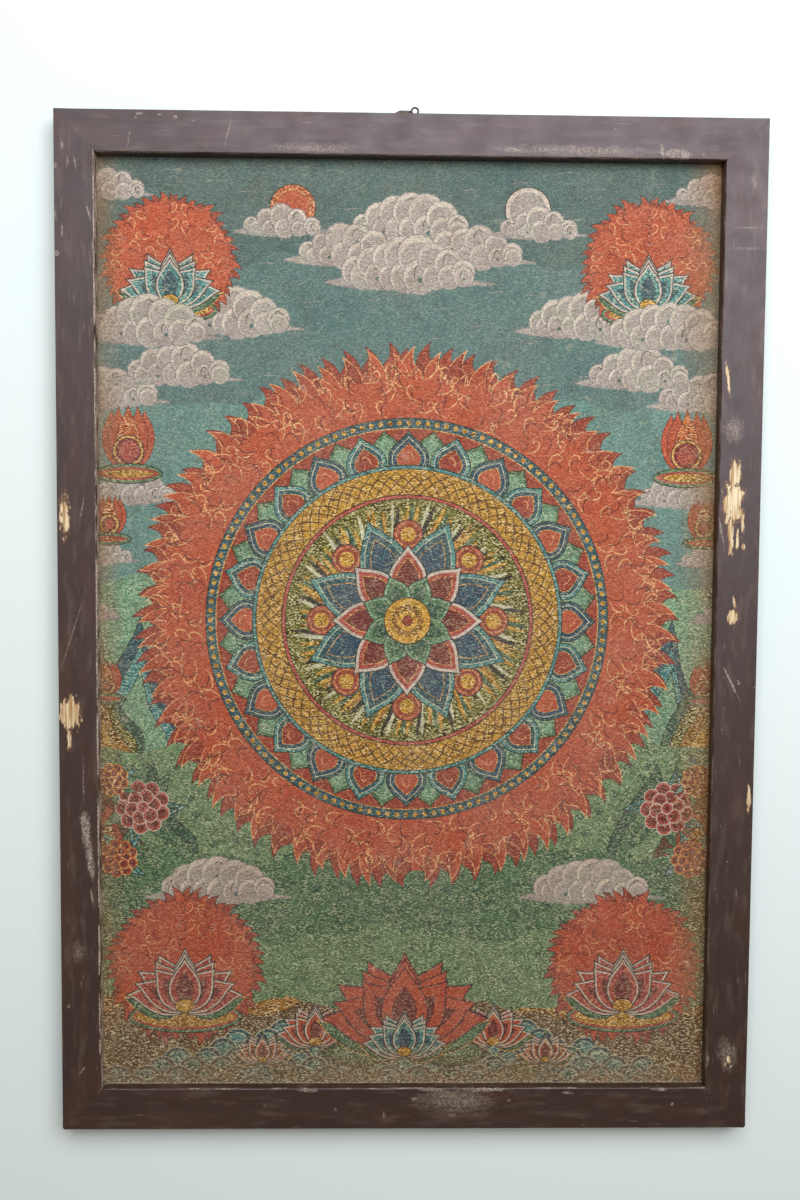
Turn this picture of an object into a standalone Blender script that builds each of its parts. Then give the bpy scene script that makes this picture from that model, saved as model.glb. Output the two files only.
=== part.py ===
"""Thangka textile in a wooden frame: a flat woven cloth, held behind the lip of four mitred wooden members.

Metres, +Z up. The framed cloth lies on its back: +Z looks out of the picture, +Y is the picture's top.
"""

import math

import bmesh
import bpy
from mathutils import Matrix

# Frame, front view, from the photograph
FRAME_WIDTH = 0.900
FRAME_HEIGHT = 1.310
LEFT_MEMBER = 0.050
RIGHT_MEMBER = 0.055
TOP_MEMBER = 0.053
BOTTOM_MEMBER = 0.055

# Frame, section: the rebate is the step at the back of the inner edge
FRAME_DEPTH = 0.034
LIP_THICKNESS = 0.018
REBATE_WIDTH = 0.012
EDGE_EASE = 0.0016

# Cloth
CLOTH_THICKNESS = 0.0016
CLOTH_MARGIN = 0.0115

# Screw eye in the top edge
EYE_RING_RADIUS = 0.00425
EYE_WIRE_RADIUS = 0.0012
EYE_X = 0.002
EYE_Z = 0.017
EYE_GAP_BELOW_RING = 0.0022
EYE_SHANK_IN_WOOD = 0.0095
EYE_BORE_RADIUS = 0.0015
EYE_BORE_DEPTH = 0.010

# Steel hanging plate beside the eye: a foot on the top edge and a leaf that stands up from it
PLATE_LEFT_X = -0.027
PLATE_LENGTH = 0.024
PLATE_SLANT = 0.010
PLATE_LOW_END = 0.0042
PLATE_HEIGHT = 0.0096
PLATE_THICKNESS = 0.0012
PLATE_Z = 0.0125
PLATE_FOOT_DEPTH = 0.008

# Gap between pieces that touch; at 45 degrees the two ends of a mitre each draw back by a part of it
SEAT_GAP = 0.0003
MITRE_DRAW_BACK = SEAT_GAP * 0.75
CUTTER_SPARE = 0.010

EYE_CENTRE_HEIGHT = EYE_GAP_BELOW_RING + EYE_RING_RADIUS + EYE_WIRE_RADIUS
EYE_RISE = EYE_CENTRE_HEIGHT + EYE_RING_RADIUS + EYE_WIRE_RADIUS

# Outer and inner edges of the frame; the origin is the middle of the footprint, with the eye counted in
LEFT = -FRAME_WIDTH / 2
RIGHT = FRAME_WIDTH / 2
BOTTOM = -(FRAME_HEIGHT + EYE_RISE) / 2
TOP = BOTTOM + FRAME_HEIGHT
INNER_LEFT = LEFT + LEFT_MEMBER
INNER_RIGHT = RIGHT - RIGHT_MEMBER
INNER_BOTTOM = BOTTOM + BOTTOM_MEMBER
INNER_TOP = TOP - TOP_MEMBER
LIP_UNDERSIDE = FRAME_DEPTH - LIP_THICKNESS


def clear_scene():
    for obj in list(bpy.data.objects):
        bpy.data.objects.remove(obj, do_unlink=True)


def new_collection(name):
    collection = bpy.data.collections.new(name)
    bpy.context.scene.collection.children.link(collection)
    return collection


def new_material(name, color, roughness, metallic=0.0):
    material = bpy.data.materials.new(name)
    material.use_nodes = True
    shader = material.node_tree.nodes["Principled BSDF"]
    shader.inputs["Base Color"].default_value = (*color, 1.0)
    shader.inputs["Roughness"].default_value = roughness
    shader.inputs["Metallic"].default_value = metallic
    return material


def new_object(name, bm, collection, material=None):
    bmesh.ops.recalc_face_normals(bm, faces=bm.faces)
    mesh = bpy.data.meshes.new(name)
    bm.to_mesh(mesh)
    bm.free()
    obj = bpy.data.objects.new(name, mesh)
    collection.objects.link(obj)
    if material:
        mesh.materials.append(material)
    return obj


def hide_cutter(obj):
    obj.hide_render = True
    obj.display_type = "WIRE"


def add_boolean(obj, cutter, operation="DIFFERENCE"):
    modifier = obj.modifiers.new(f"{operation.lower()} {cutter.name}", "BOOLEAN")
    modifier.operation = operation
    modifier.solver = "EXACT"
    modifier.object = cutter


def block(x_range, y_range, z_range):
    """A cube primitive stretched to the three ranges."""
    bm = bmesh.new()
    bmesh.ops.create_cube(bm, size=1.0)
    for vert in bm.verts:
        for axis, (low, high) in enumerate((x_range, y_range, z_range)):
            vert.co[axis] = low if vert.co[axis] < 0 else high
    return bm


def rod(radius, start, length, segments=16):
    """An upright cylinder in +Y from the point start."""
    bm = bmesh.new()
    bmesh.ops.create_cone(
        bm, cap_ends=True, segments=segments, radius1=radius, radius2=radius, depth=length
    )
    turn = Matrix.Rotation(math.radians(-90), 4, "X")
    middle = Matrix.Translation((start[0], start[1] + length / 2, start[2]))
    bmesh.ops.transform(bm, matrix=middle @ turn, verts=bm.verts)
    return bm


def mitred_member(name, outer, inner, collection, material, rebate_cutter):
    """A frame member: outer and inner hold its two ends on the frame's outer and inner edge."""
    bm = bmesh.new()
    bmesh.ops.create_cube(bm, size=1.0)
    lies_in_x = outer[0][1] == outer[1][1]
    along = 0 if lies_in_x else 1
    for vert in bm.verts:
        far_end = vert.co.x > 0
        x, y = (inner if vert.co.y > 0 else outer)[far_end]
        place = [x, y]
        place[along] += -MITRE_DRAW_BACK if far_end else MITRE_DRAW_BACK
        vert.co = (*place, FRAME_DEPTH if vert.co.z > 0 else 0.0)
    bmesh.ops.recalc_face_normals(bm, faces=bm.faces)
    ease_long_edges(bm, along, inner[0][1 - along])
    obj = new_object(name, bm, collection, material)
    add_boolean(obj, rebate_cutter)
    return obj


def ease_long_edges(bm, along, inner_place):
    """Rounds the edges that run the member's length, but for the one that the rebate takes away."""
    eased = []
    for edge in bm.edges:
        first, second = (vert.co for vert in edge.verts)
        runs_along = abs(first[along] - second[along]) > FRAME_WIDTH / 2
        at_back = max(first.z, second.z) < FRAME_DEPTH / 2
        at_inner_edge = abs(first[1 - along] - inner_place) < EDGE_EASE
        if runs_along and not (at_back and at_inner_edge):
            eased.append(edge)
    bmesh.ops.bevel(bm, geom=eased, offset=EDGE_EASE, segments=3, profile=0.5, affect="EDGES")


def build_frame(parts, cutters):
    paint = new_material("brown_paint", (0.055, 0.032, 0.024), 0.42)
    rebate = new_object(
        "rebate_cutter",
        block(
            (INNER_LEFT - REBATE_WIDTH, INNER_RIGHT + REBATE_WIDTH),
            (INNER_BOTTOM - REBATE_WIDTH, INNER_TOP + REBATE_WIDTH),
            (-CUTTER_SPARE, LIP_UNDERSIDE),
        ),
        cutters,
    )
    hide_cutter(rebate)
    outer = {"bl": (LEFT, BOTTOM), "br": (RIGHT, BOTTOM), "tl": (LEFT, TOP), "tr": (RIGHT, TOP)}
    inner = {
        "bl": (INNER_LEFT, INNER_BOTTOM),
        "br": (INNER_RIGHT, INNER_BOTTOM),
        "tl": (INNER_LEFT, INNER_TOP),
        "tr": (INNER_RIGHT, INNER_TOP),
    }
    members = {
        "bottom_rail": ("bl", "br"),
        "top_rail": ("tl", "tr"),
        "left_stile": ("bl", "tl"),
        "right_stile": ("br", "tr"),
    }
    made = {}
    for name, (start, end) in members.items():
        made[name] = mitred_member(
            name, (outer[start], outer[end]), (inner[start], inner[end]), parts, paint, rebate
        )
    return made


def build_cloth(parts):
    weave = new_material("woven_cloth", (0.30, 0.17, 0.09), 0.9)
    top_face = LIP_UNDERSIDE - SEAT_GAP
    bm = block(
        (INNER_LEFT - CLOTH_MARGIN, INNER_RIGHT + CLOTH_MARGIN),
        (INNER_BOTTOM - CLOTH_MARGIN, INNER_TOP + CLOTH_MARGIN),
        (top_face - CLOTH_THICKNESS, top_face),
    )
    new_object("cloth", bm, parts, weave)


def build_hanger_eye(parts, cutters, top_rail):
    """A screw eye: a ring that faces out of the picture, on a shank in a bore in the top rail."""
    iron = new_material("dark_iron", (0.05, 0.047, 0.045), 0.5, 0.9)
    ring_centre = TOP + EYE_CENTRE_HEIGHT
    bpy.ops.mesh.primitive_torus_add(
        location=(EYE_X, ring_centre, EYE_Z),
        major_radius=EYE_RING_RADIUS,
        minor_radius=EYE_WIRE_RADIUS,
        major_segments=28,
        minor_segments=10,
    )
    ring = bpy.context.object
    ring.name = "hanger_eye"
    ring.data.name = "hanger_eye"
    for collection in list(ring.users_collection):
        collection.objects.unlink(ring)
    parts.objects.link(ring)
    ring.data.materials.append(iron)
    shank_start = TOP - EYE_SHANK_IN_WOOD
    shank_length = EYE_SHANK_IN_WOOD + EYE_GAP_BELOW_RING + EYE_WIRE_RADIUS
    shank = new_object(
        "shank_union", rod(EYE_WIRE_RADIUS, (EYE_X, shank_start, EYE_Z), shank_length), cutters
    )
    hide_cutter(shank)
    add_boolean(ring, shank, "UNION")
    bore = new_object(
        "eye_bore_cutter",
        rod(EYE_BORE_RADIUS, (EYE_X, TOP - EYE_BORE_DEPTH, EYE_Z), EYE_BORE_DEPTH + CUTTER_SPARE),
        cutters,
    )
    hide_cutter(bore)
    add_boolean(top_rail, bore)


def build_hanger_plate(parts, cutters):
    """A strip of sheet steel bent to an angle; its leaf slants down to the left-hand end."""
    steel = new_material("painted_steel", (0.10, 0.085, 0.08), 0.55)
    seat = TOP + SEAT_GAP
    right_x = PLATE_LEFT_X + PLATE_LENGTH
    leaf = block(
        (PLATE_LEFT_X, right_x), (seat, TOP + PLATE_HEIGHT), (PLATE_Z, PLATE_Z + PLATE_THICKNESS)
    )
    bmesh.ops.bisect_plane(
        leaf,
        geom=leaf.verts[:] + leaf.edges[:] + leaf.faces[:],
        plane_co=(PLATE_LEFT_X + PLATE_SLANT, 0, 0),
        plane_no=(1, 0, 0),
    )
    for vert in leaf.verts:
        at_left_end = vert.co.x < PLATE_LEFT_X + PLATE_SLANT / 2
        if at_left_end and vert.co.y > TOP + PLATE_LOW_END:
            vert.co.y = TOP + PLATE_LOW_END
    plate = new_object("hanger_plate", leaf, parts, steel)
    foot = new_object(
        "foot_union",
        block(
            (PLATE_LEFT_X, right_x),
            (seat, seat + PLATE_THICKNESS),
            (PLATE_Z + PLATE_THICKNESS - PLATE_FOOT_DEPTH, PLATE_Z + PLATE_THICKNESS / 2),
        ),
        cutters,
    )
    hide_cutter(foot)
    add_boolean(plate, foot, "UNION")


def build():
    clear_scene()
    parts = new_collection("framed thangka textile")
    cutters = new_collection("cutters")
    members = build_frame(parts, cutters)
    build_cloth(parts)
    build_hanger_eye(parts, cutters, members["top_rail"])
    build_hanger_plate(parts, cutters)


build()
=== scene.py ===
import math

import bpy
import numpy as np
from mathutils import Matrix, Vector
from mathutils.geometry import delaunay_2d_cdt


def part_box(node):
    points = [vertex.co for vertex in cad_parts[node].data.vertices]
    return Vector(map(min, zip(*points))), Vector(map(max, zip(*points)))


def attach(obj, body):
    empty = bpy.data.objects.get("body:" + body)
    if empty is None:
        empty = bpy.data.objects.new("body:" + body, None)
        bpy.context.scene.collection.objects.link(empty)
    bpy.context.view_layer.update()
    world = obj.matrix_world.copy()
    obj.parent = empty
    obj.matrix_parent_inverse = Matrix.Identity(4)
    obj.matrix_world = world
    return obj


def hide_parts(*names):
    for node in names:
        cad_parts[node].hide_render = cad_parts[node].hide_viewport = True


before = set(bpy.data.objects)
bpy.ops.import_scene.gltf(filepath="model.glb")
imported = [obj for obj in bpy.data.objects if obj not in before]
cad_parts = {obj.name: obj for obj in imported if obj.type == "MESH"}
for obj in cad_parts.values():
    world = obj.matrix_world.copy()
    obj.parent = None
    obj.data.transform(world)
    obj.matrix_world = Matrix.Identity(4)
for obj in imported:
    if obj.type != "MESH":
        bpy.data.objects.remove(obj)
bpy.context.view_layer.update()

# The viewpoint: a person's height of eye above the lying picture, a little left of its middle and
# above it, with the lens that the frame's four corners fit. Angles are from straight down.
PHOTO_HEIGHT_PX = 1200
FOCAL_LENGTH_PX = 1200
SENSOR_HEIGHT_MM = 36.0
EYE_POINT = (-0.044, 0.1275, 1.571)
EYE_TILT_DEG = (-3.394, -1.138, 0.414)

viewer = bpy.data.objects.new("viewer", bpy.data.cameras.new("viewer"))
bpy.context.scene.collection.objects.link(viewer)
viewer.location = EYE_POINT
viewer.rotation_euler = [math.radians(a) for a in EYE_TILT_DEG]
viewer.data.sensor_fit = "VERTICAL"
viewer.data.sensor_height = SENSOR_HEIGHT_MM
viewer.data.lens = SENSOR_HEIGHT_MM * FOCAL_LENGTH_PX / PHOTO_HEIGHT_PX
bpy.context.scene.camera = viewer

# The studio: a plain pale floor, a big soft window of light beyond the picture's top right, which
# also greys the top rail's paint, and a pale room all round.
FLOOR_SIDE = 9.0
FLOOR_DROP = 0.0005
FLOOR_COLOUR = "#e4eae8"
WINDOW_POWER = 113.0
WINDOW_SIZE = (3.1, 2.0)
WINDOW_POINT = (0.42, 1.42, 2.3)
WINDOW_AIM = (0.0, 0.3, 0.0)
WINDOW_COLOUR = "#f2faff"
FILL_POWER = 5.0
FILL_SIZE = (3.0, 3.0)
FILL_POINT = (-1.2, -0.4, 2.6)
FILL_COLOUR = "#fffaf0"
ROOM_LIGHT = 0.18
ROOM_COLOUR = "#fef3df"


def linear(hex_colour):
    """An sRGB hex colour as linear red, green, blue and alpha."""
    parts = [int(hex_colour[i : i + 2], 16) / 255 for i in (1, 3, 5)]
    return [c / 12.92 if c <= 0.04045 else ((c + 0.055) / 1.055) ** 2.4 for c in parts] + [1.0]


def feed(made, inputs):
    """Gives a node's inputs, in their order or by number or name, a socket to follow or a value."""
    for place, value in inputs.items() if isinstance(inputs, dict) else enumerate(inputs):
        if isinstance(value, bpy.types.NodeSocket):
            made.id_data.links.new(value, made.inputs[place])
        else:
            made.inputs[place].default_value = value


def node(tree, kind, inputs=(), out=0, **settings):
    """Adds a shader node with its settings and links, and returns one of its outputs."""
    made = tree.nodes.new("ShaderNode" + kind)
    for name, value in settings.items():
        setattr(made, name, value)
    feed(made, inputs)
    return made.outputs[out]


def new_material(name):
    """A new material, its node tree and its surface shader."""
    made = bpy.data.materials.new(name)
    made.use_nodes = True
    return made, made.node_tree, made.node_tree.nodes["Principled BSDF"]


def area_light(name, power, colour, size, place, aim):
    light = bpy.data.lights.new(name, "AREA")
    light.color = linear(colour)[:3]
    light.energy = power
    light.shape = "RECTANGLE"
    light.size, light.size_y = size
    lamp = bpy.data.objects.new(name, light)
    bpy.context.scene.collection.objects.link(lamp)
    lamp.location = place
    lamp.rotation_euler = (Vector(aim) - Vector(place)).to_track_quat("-Z", "Y").to_euler()


area_light("window", WINDOW_POWER, WINDOW_COLOUR, WINDOW_SIZE, WINDOW_POINT, WINDOW_AIM)
area_light("fill", FILL_POWER, FILL_COLOUR, FILL_SIZE, FILL_POINT, (0, 0, 0))
room = bpy.data.worlds.new("pale_room")
room.use_nodes = True
feed(room.node_tree.nodes["Background"], {"Color": linear(ROOM_COLOUR), "Strength": ROOM_LIGHT})
bpy.context.scene.world = room
bpy.context.scene.view_settings.view_transform = "Standard"

bpy.ops.mesh.primitive_plane_add(size=FLOOR_SIDE, location=(0, 0, -FLOOR_DROP))
floor = bpy.context.object
floor.name = "floor"
floor_paint, _, floor_shader = new_material("pale_floor")
feed(floor_shader, {"Base Color": linear(FLOOR_COLOUR), "Roughness": 0.85})
floor.data.materials.append(floor_paint)

# The textile: one dense brocade, woven flat in dyed wefts with gilt thread in its yellows. Its
# design is a plain one: a lotus mandala in a ring of flame, over a pond, under clouds.
MM = 0.001
cloth_low, cloth_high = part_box("cloth")
sight_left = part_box("left_stile")[1][0]
sight_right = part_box("right_stile")[0][0]
sight_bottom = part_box("bottom_rail")[1][1]
sight_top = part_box("top_rail")[0][1]
half_wide = (cloth_high[0] - cloth_low[0]) / 2 / MM
half_tall = (cloth_high[1] - cloth_low[1]) / 2 / MM

# Each dye's colour, how strongly its yarns fleck, and how much gilt is in it
DYES = {
    "storm": ("#4e6561", 0.045, 0.0),
    "sky": ("#587470", 0.055, 0.0),
    "shallow": ("#648880", 0.08, 0.0),
    "mint": ("#739a7a", 0.20, 0.0),
    "sage": ("#6d8a60", 0.20, 0.0),
    "leaf": ("#557852", 0.20, 0.0),
    "moss": ("#355a44", 0.18, 0.0),
    "deep": ("#28505a", 0.16, 0.0),
    "blue": ("#24455a", 0.12, 0.0),
    "turquoise": ("#4b8a88", 0.26, 0.0),
    "brick": ("#b84e2c", 0.08, 0.0),
    "ember": ("#9c3a20", 0.10, 0.0),
    "orange": ("#c8642e", 0.30, 0.1),
    "maroon": ("#76231a", 0.14, 0.0),
    "rose": ("#ad4638", 0.14, 0.0),
    "gold": ("#d09a30", 0.30, 0.5),
    "ochre": ("#b07a26", 0.36, 0.4),
    "olive": ("#7c7626", 0.42, 0.3),
    "earth": ("#7a5a34", 0.30, 0.1),
    "cloud": ("#ab9d95", 0.08, 0.0),
    "pearl": ("#cbbaac", 0.08, 0.0),
    "mist": ("#8d8987", 0.10, 0.0),
    "gilt_line": ("#d9a050", 0.30, 0.6),
    "warm_line": ("#e6a46c", 0.20, 0.2),
    "red_line": ("#6e1f14", 0.10, 0.0),
    "dark_line": ("#271f18", 0.08, 0.0),
    "pale_line": ("#c9c6a6", 0.14, 0.0),
    "brown_line": ("#5c3412", 0.10, 0.1),
}
LINE = 1.3
FINE_LINE = 1.1

# Widths along a petal, a flame, a leaf and a thread line, as shares of the widest
PETAL = (0.50, 0.80, 0.97, 1.0, 0.95, 0.80, 0.54, 0.22, 0.0)
TONGUE = (0.55, 0.92, 1.0, 0.86, 0.64, 0.44, 0.28, 0.13, 0.0)
BLADE = (0.0, 0.55, 0.90, 1.0, 0.92, 0.74, 0.50, 0.24, 0.0)
THREAD = (0.35, 0.9, 1.0, 1.0, 1.0, 1.0, 0.95, 0.8, 0.3)

woven = []
hand = np.random.default_rng(7)


def weave(outline, dye):
    """Lays a closed outline, drawn anticlockwise in mm from the middle, over what is there."""
    woven.append((np.asarray(outline, float), dye))


def inset(outline, depth):
    """The outline drawn in by depth along its normals."""
    ahead = np.roll(outline, -1, 0) - np.roll(outline, 1, 0)
    ahead /= np.maximum(np.linalg.norm(ahead, axis=1), 1e-9)[:, None]
    return outline + depth * np.column_stack((-ahead[:, 1], ahead[:, 0]))


def layered(outline, *layers):
    """Weaves an outline and those inside it; each layer is a depth and a dye."""
    for depth, dye in layers:
        weave(inset(outline, depth), dye)


def polar(centre, radius, angle):
    return (centre[0] + radius * math.cos(angle), centre[1] + radius * math.sin(angle))


def disc(centre, radius, sides=None, squash=1.0):
    sides = sides or int(np.clip(radius * 0.9, 8, 120))
    turn = np.linspace(0, 2 * math.pi, sides, endpoint=False)
    return np.asarray(centre) + radius * np.column_stack((np.cos(turn), squash * np.sin(turn)))


def swept(start, heading, length, width, profile, bend=0.0, sway=0.0, steps=9):
    """The outline of a petal, flame or leaf that grows from start along a bent middle line."""
    t = np.linspace(0, 1, steps)
    angle = heading + bend * t + sway * np.sin(2 * math.pi * t)
    step = length / (steps - 1) * np.column_stack((np.cos(angle), np.sin(angle)))
    spine = np.asarray(start) + np.vstack(((0, 0), (step[1:] + step[:-1]).cumsum(0) / 2))
    half = width / 2 * np.interp(t, np.linspace(0, 1, len(profile)), profile)
    side = np.column_stack((-np.sin(angle), np.cos(angle))) * half[:, None]
    return np.vstack((spine - side, (spine + side)[::-1]))


def line(points, width, dye):
    """A thread line through the points, thinner at its ends."""
    points = np.asarray(points, float)
    ahead = np.gradient(points, axis=0)
    ahead /= np.maximum(np.linalg.norm(ahead, axis=1), 1e-9)[:, None]
    taper = np.interp(np.linspace(0, 8, len(points)), range(9), THREAD)
    half = width / 2 * taper
    side = np.column_stack((-ahead[:, 1], ahead[:, 0])) * half[:, None]
    weave(np.vstack((points - side, (points + side)[::-1])), dye)


def scroll(start, heading, length, turn, width, dye, steps=8):
    """A line that runs out and winds up into a curl."""
    t = np.linspace(0, 1, steps)
    angle = heading + turn * t**1.7
    pace = (1.35 - t) * length / (0.85 * (steps - 1))
    step = pace[:, None] * np.column_stack((np.cos(angle), np.sin(angle)))
    line(np.asarray(start) + np.vstack(((0, 0), step[:-1].cumsum(0))), width, dye)


def ring_of(count, weave_one, start=0.0):
    for i in range(count):
        weave_one(i, start + 2 * math.pi * i / count)


def strewn(low, high, spacing, accept):
    """Places on an uneven staggered grid that accept takes."""
    found = []
    for row, y in enumerate(np.arange(low[1], high[1], spacing * 0.87)):
        for x in np.arange(low[0] + spacing / 2 * (row % 2), high[0], spacing):
            place = np.array((x, y)) + hand.uniform(-0.3, 0.3, 2) * spacing
            if accept(*place):
                found.append(place)
    return found


def cloud(x, y, wide, lobes=6):
    """A bank of cloud: two rows of puffs over a flat foot, with small dark curls like eyes."""
    puffs = []
    for i, t in enumerate(np.linspace(-1, 1, lobes)):
        radius = wide * (0.155 - 0.055 * abs(t)) * hand.uniform(0.85, 1.15)
        puffs.append(((x + t * wide * 0.40, y + (1 - t * t) * wide * 0.12), radius))
        puffs.append(((x + (t + 0.5 / lobes) * wide * 0.38, y - wide * 0.04), radius * 0.85))
    foot = swept((x - wide * 0.64, y - wide * 0.09), 0.05, wide * 1.28, wide * 0.13, BLADE, -0.1)
    layered(foot, (-LINE, "mist"), (0, "cloud"))
    for i, (centre, radius) in enumerate(puffs):
        layered(disc(centre, radius, 13), (-LINE, "mist"), (0, "pearl"))
        weave(disc((centre[0], centre[1] - radius * 0.16), radius * 0.84, 11), "cloud")
        if i % 3 == 0:
            side = 1 if centre[0] > x else -1
            start = (centre[0] - side * radius * 0.35, centre[1] - radius * 0.1)
            scroll(start, math.pi / 2, radius * 1.2, -5.0 * side, FINE_LINE, "dark_line", 6)
            weave(disc((centre[0], centre[1] - radius * 0.2), radius * 0.16, 7), "storm")


def lotus(x, y, size, body, heart, rim="pearl"):
    """A lotus flower from the side: a fan of petals in three rows over two green leaves."""
    for lean in (-0.25, math.pi + 0.25):
        bend = math.copysign(0.9, math.cos(lean))
        blade = swept((x, y), lean, size * 0.62, size * 0.22, BLADE, bend)
        layered(blade, (0, "gilt_line"), (LINE, "moss"), (LINE * 3, "leaf"))
    rows = ((7, 1.15, 0.58, 0.30), (5, 0.95, 0.54, 0.30), (3, 0.55, 0.48, 0.32))
    for count, spread, reach, wide in rows:
        leans = sorted(np.linspace(-spread, spread, count), key=lambda lean: -abs(lean))
        for lean in leans:
            long, broad = size * reach, size * wide
            petal = swept((x, y), math.pi / 2 - lean, long, broad, PETAL, -lean * 0.35, steps=8)
            layered(petal, (0, "dark_line"), (LINE, rim), (LINE * 2.6, body), (size * 0.075, heart))
    layered(disc((x, y + size * 0.02), size * 0.10, 14, 0.7), (0, "dark_line"), (LINE, "gold"))


def cushion(x, y, wide):
    """A low oval seat in gold lattice with a green and a red rim."""
    oval = disc((x, y), wide / 2, 34, 0.30)
    layered(oval, (0, "dark_line"), (LINE, "leaf"), (4.5, "rose"), (8, "gold"))
    for lean in (-1, 1):
        for t in np.linspace(-0.8, 0.8, int(wide / 11)):
            reach = wide * 0.12 * math.sqrt(1 - t * t)
            foot = (x + t * wide * 0.42 - lean * reach, y - reach * 0.8)
            line((foot, (foot[0] + lean * reach * 2, y + reach * 0.8)), FINE_LINE, "brown_line")


def peony(x, y, size, dye, edge):
    """A full round flower among leaves."""
    for i in range(7):
        angle = i * 0.9 + x
        blade = swept((x, y), angle, size * 0.95, size * 0.34, BLADE, 0.5)
        layered(blade, (0, "dark_line"), (FINE_LINE, "turquoise" if i % 2 else "leaf"), (4, "moss"))
    for count, reach, radius in ((9, 0.40, 0.17), (6, 0.22, 0.16), (1, 0.0, 0.13)):
        for i in range(count):
            at = polar((x, y), size * reach, 2 * math.pi * i / count + reach)
            layered(disc(at, size * radius, 12), (0, edge), (LINE, dye), (size * 0.07, "maroon"))


def nimbus(x, y, radius):
    """A round brick glory, with flame licks round its edge and curls all over it."""
    count = int(radius * 0.55)
    for i in range(count):
        angle = 2 * math.pi * (i + 0.3) / count
        side = 1 if math.cos(angle) > 0 else -1
        root = polar((x, y), radius * 0.82, angle)
        long = radius * hand.uniform(0.24, 0.38)
        lean = (angle + 0.6 * side, long, radius * 0.24, TONGUE, -1.2 * side, 0.2 * side)
        lick = swept(root, *lean, steps=7)
        outline = "red_line" if i % 3 else "dark_line"
        layered(lick, (0, outline), (FINE_LINE, "ember" if i % 2 else "brick"))
    weave(disc((x, y), radius * 0.93), "brick")
    for share, size in ((0.84, 0.30), (0.58, 0.34), (0.32, 0.34)):
        curls = int(2 * math.pi * share / 0.34)
        for i in range(curls):
            angle = 2 * math.pi * (i + share) / curls
            turn = 5.0 if (i + int(share * 10)) % 2 else -5.0
            start = polar((x, y), radius * (share - 0.1), angle)
            scroll(start, angle - turn * 0.25, radius * size, turn * 1.2, LINE, "warm_line", 8)
            scroll(start, angle - turn * 0.1, radius * size * 0.8, turn * 1.2, LINE, "red_line", 7)


def flaming_jewel(x, y, size):
    """A round jewel in a brick flame, over a gold cushion."""
    for lean in (0.75, -0.75, 0.42, -0.42, 0.0):
        root = (x, y - size * 0.5)
        lick = swept(root, math.pi / 2 + lean, size * 1.55, size * 0.62, PETAL, -lean * 1.3, steps=8)
        layered(lick, (0, "red_line"), (FINE_LINE, "brick" if lean else "orange"))
    jewel = disc((x, y - size * 0.1), size * 0.40, 16)
    layered(jewel, (0, "dark_line"), (LINE, "gilt_line"), (4, "maroon"), (8, "rose"))
    cushion(x, y - size * 0.66, size * 1.7)


def ground_below(y, dye, roll, pitch):
    """Fills the cloth below a rolling line."""
    xs = np.linspace(half_wide, -half_wide, 50)
    edge = y + roll * np.sin(xs / pitch + y) + roll * 0.5 * np.sin(xs / pitch * 2.7 + 1 + y)
    weave(np.vstack((np.column_stack((xs, edge)), (-CLOTH_SIDE, CLOTH_SIDE * (1, -1)))), dye)


def hill(x, y, wide, tall, *bands):
    for i, dye in enumerate(bands):
        shrink = 1 - 0.17 * i
        size = ((tall + 30) * shrink, wide * shrink)
        ridge = swept((x, y - 30), math.pi / 2, *size, TONGUE, 0.0, 0.18, 11)
        layered(ridge, (0, "dark_line"), (FINE_LINE, dye))


# Sky, hills and pond
CLOTH_SIDE = np.array((half_wide, half_tall))
weave((-CLOTH_SIDE, CLOTH_SIDE * (1, -1), CLOTH_SIDE, CLOTH_SIDE * (-1, 1)), "storm")
for y, dye in ((470, "sky"), (300, "shallow"), (60, "mint")):
    ground_below(y, dye, 11, 42)
for side in (-1, 1):
    hill(side * 346, -150, 120, 170, "deep", "turquoise", "mint")
    hill(side * 394, -160, 120, 130, "moss", "olive", "ochre", "gold")
ground_below(-150, "sage", 8, 42)
for side in (-1, 1):
    hill(side * 330, -300, 130, 130, "moss", "leaf", "sage")
    hill(side * 388, -310, 130, 110, "brown_line", "ember", "ochre", "gold")
ground_below(-292, "leaf", 8, 42)
ground_below(-400, "sage", 11, 42)
ground_below(-496, "ochre", 9, 34)
ground_below(-504, "earth", 9, 34)
for x, y in strewn((-half_wide, -490), (half_wide, -170), 35, lambda x, y: math.hypot(x, y) > 330):
    for lean in (-0.5, 0.0, 0.5):
        tuft = swept((x, y), math.pi / 2 + lean, 11, 3.4, BLADE, lean, steps=4)
        weave(tuft, "moss" if y > -400 else "leaf")
for x, y in strewn((-half_wide, -60), (half_wide, half_tall), 56, lambda x, y: math.hypot(x, y) > 350):
    line([(x, y), (x + 12, y + 2), (x + 26, y + 1)], FINE_LINE, "mist" if y > 300 else "mint")
for side in (-1, 1):
    peony(side * 344, -232, 64, "rose", "pearl")
    peony(side * 384, -196, 40, "orange", "gilt_line")
    peony(side * 376, -300, 46, "brick", "gilt_line")

POND_TOP = -535
SCALE_RADIUS = 20
for row, y in enumerate(np.arange(POND_TOP, -half_tall - SCALE_RADIUS, -SCALE_RADIUS * 0.62)):
    reach = 160 + 40 * row
    for x in np.arange(-reach - SCALE_RADIUS * (row % 2), reach + 1, SCALE_RADIUS * 2):
        if abs(x) < half_wide + SCALE_RADIUS:
            scale = disc((x, y), SCALE_RADIUS, 16)
            layered(scale, (0, "pale_line"), (LINE, "deep"), (6, "pale_line"), (7, "turquoise"))

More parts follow.
